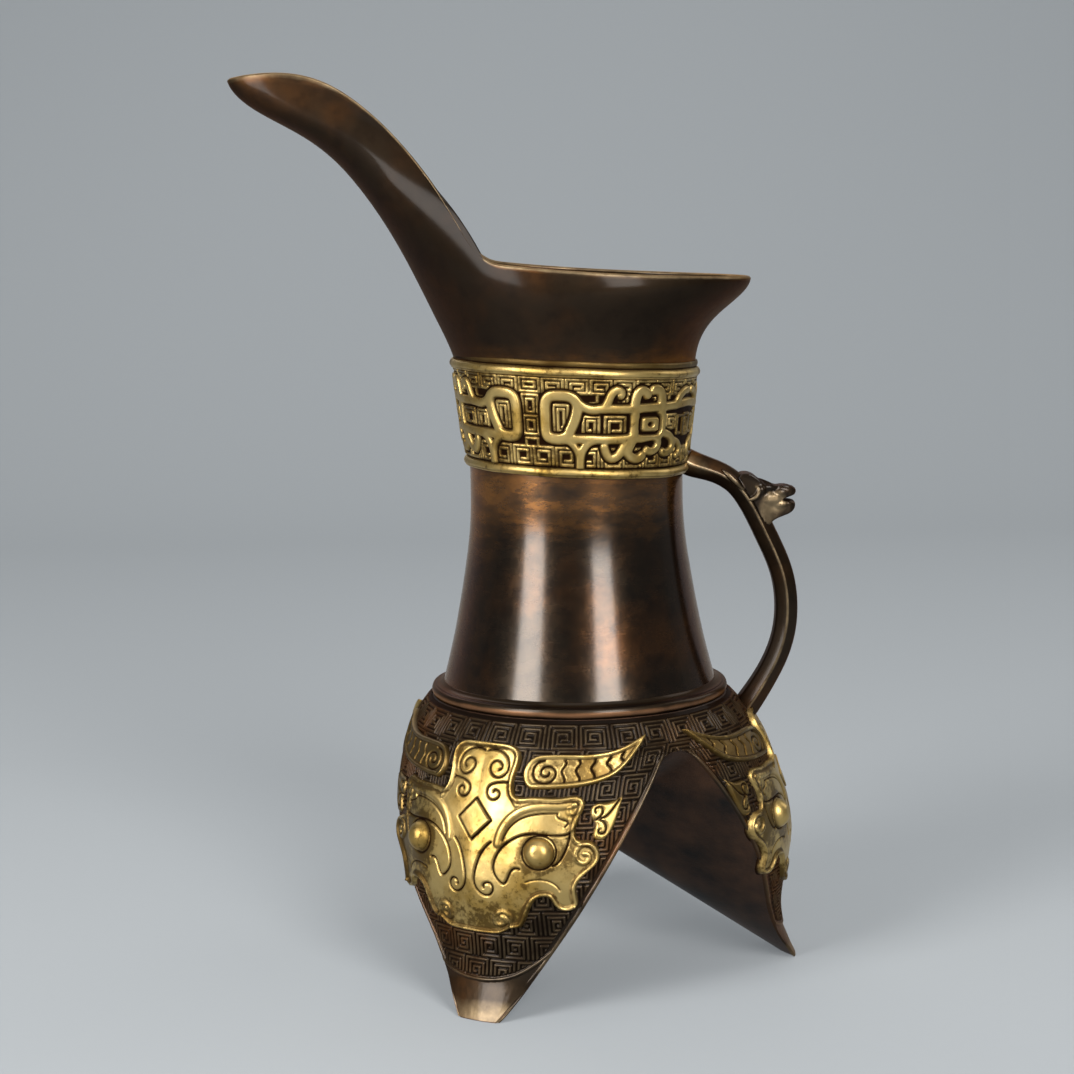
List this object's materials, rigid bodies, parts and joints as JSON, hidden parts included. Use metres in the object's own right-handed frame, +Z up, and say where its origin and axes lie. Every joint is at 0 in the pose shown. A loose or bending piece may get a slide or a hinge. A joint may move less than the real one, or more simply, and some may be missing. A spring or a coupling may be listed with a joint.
{
  "type": "jue wine vessel",
  "caption": "Tripod jue wine vessel of dark patinated bronze with gilt beast masks, a gilt dragon band round the neck, a long open pouring spout, a tail and a loop handle.",
  "frame": {"origin": "on the axis of the cup, level with the ground under the three feet", "axes": "+Z up along the axis of the cup, +X towards the handle, so the spout points to -X"},
  "size_m": [0.1564, 0.1195, 0.2509],
  "materials": {
    "patinated_bronze": "dark brown waxed patina, satin",
    "gilt_bronze": "worn gilding, dark in the recesses",
    "copper_bead": "rubbed copper brown"
  },
  "bodies": {
    "root": {"neck_ring_upper": "gilt_bronze", "neck_band": "gilt_bronze", "neck_dragons": "gilt_bronze", "neck_ring_lower": "gilt_bronze", "mask_face_handle": "gilt_bronze", "mask_horns_handle": "gilt_bronze", "mask_ears_handle": "gilt_bronze", "mask_eyes_handle": "gilt_bronze", "mask_face_front": "gilt_bronze", "mask_horns_front": "gilt_bronze", "mask_ears_front": "gilt_bronze", "mask_eyes_front": "gilt_bronze", "mask_face_back": "gilt_bronze", "mask_horns_back": "gilt_bronze", "mask_ears_back": "gilt_bronze", "mask_eyes_back": "gilt_bronze", "mouth_spout": "patinated_bronze", "barrel": "patinated_bronze", "handle_strap": "patinated_bronze", "handle_head": "patinated_bronze", "leg_handle": "patinated_bronze", "leg_front": "patinated_bronze", "leg_back": "patinated_bronze", "base_ring": "copper_bead"}
  },
  "joints": []
}
